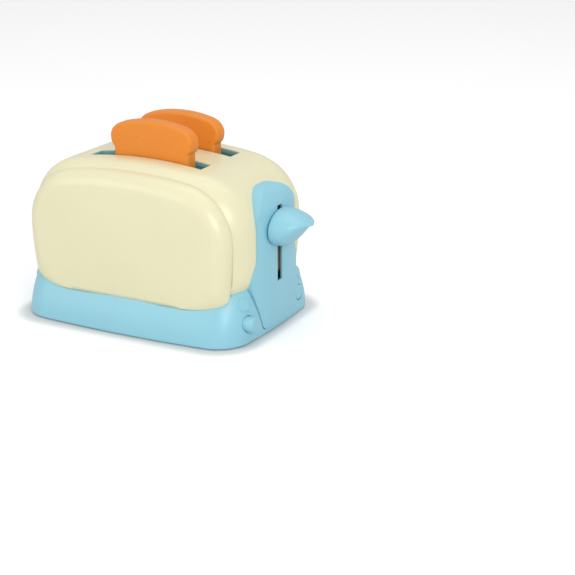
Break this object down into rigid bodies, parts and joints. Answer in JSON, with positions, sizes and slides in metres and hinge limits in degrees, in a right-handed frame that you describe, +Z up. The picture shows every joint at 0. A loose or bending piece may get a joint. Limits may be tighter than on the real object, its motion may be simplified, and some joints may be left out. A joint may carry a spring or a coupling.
{
  "type": "toy toaster",
  "caption": "Play toaster with a rounded cream hood on a blue plinth, bread slots with lift-out toast, a sprung side lever and push buttons",
  "frame": {"origin": "middle of the plinth's underside, on the surface the toaster stands on", "axes": "+X points out of the lever end, +Y to the left when looking along +X, +Z up; the near long side in the source picture is the -Y side"},
  "size_m": [0.2192, 0.1386, 0.151],
  "materials": {
    "cream_plastic": "satin",
    "blue_plastic": "satin",
    "well_plastic": "matte",
    "inner_plastic": "matte",
    "toast_plastic": "soft matte",
    "steel": "bright zinc"
  },
  "bodies": {
    "housing": {"body_hood": "cream_plastic", "side_panel_left": "cream_plastic", "side_panel_right": "cream_plastic", "base_plinth": "blue_plastic", "bottom_plate": "inner_plastic", "front_panel": "blue_plastic", "rear_panel": "blue_plastic", "bread_well_left": "well_plastic", "bread_well_right": "well_plastic", "guide_rod_front": "steel", "guide_rod_rear": "steel", "bottom_plate_screws": "steel", "body_screws": "steel", "side_panel_screws_left": "steel", "side_panel_screws_right": "steel", "front_panel_screws": "steel", "rear_panel_screws": "steel", "well_screws": "steel", "return_spring_front": "steel", "return_spring_rear": "steel", "latch_spring": "steel", "pretend_button_spring": "steel"},
    "carriage": {"bread_carriage": "inner_plastic", "lever_arm": "inner_plastic", "lever_knob": "blue_plastic", "lever_pin": "steel"},
    "toast_right": {"toast_right": "toast_plastic"},
    "toast_left": {"toast_left": "toast_plastic"},
    "release_button": {"release_button": "blue_plastic"},
    "latch": {"latch_slide": "inner_plastic"},
    "pretend_button": {"pretend_button": "blue_plastic"}
  },
  "joints": [
    {"name": "lever_push", "type": "slide", "parent": "housing", "child": "carriage", "axis": [0, 0, -1], "range_m": [0, 0.03], "stiffness_N_per_m": 120, "springref_m": -0.03, "deforming": ["return_spring_front", "return_spring_rear"]},
    {"name": "toast_right_lift", "type": "slide", "parent": "carriage", "child": "toast_right", "axis": [0, 0, 1], "range_m": [0, 0.085]},
    {"name": "toast_left_lift", "type": "slide", "parent": "carriage", "child": "toast_left", "axis": [0, 0, 1], "range_m": [0, 0.085]},
    {"name": "release_press", "type": "slide", "parent": "housing", "child": "release_button", "axis": [-1, 0, 0], "range_m": [0, 0.0025], "stiffness_N_per_m": 150, "springref_m": -0.002},
    {"name": "latch_travel", "type": "slide", "parent": "housing", "child": "latch", "axis": [-1, 0, 0], "range_m": [0, 0.0025], "stiffness_N_per_m": 250, "springref_m": -0.002, "deforming": ["latch_spring"]},
    {"name": "pretend_press", "type": "slide", "parent": "housing", "child": "pretend_button", "axis": [-1, 0, 0], "range_m": [0, 0.0025], "stiffness_N_per_m": 400, "springref_m": -0.002, "deforming": ["pretend_button_spring"]}
  ],
  "couplings": [
    {"joint": "latch_travel", "follows": "release_press", "ratio": 1}
  ]
}
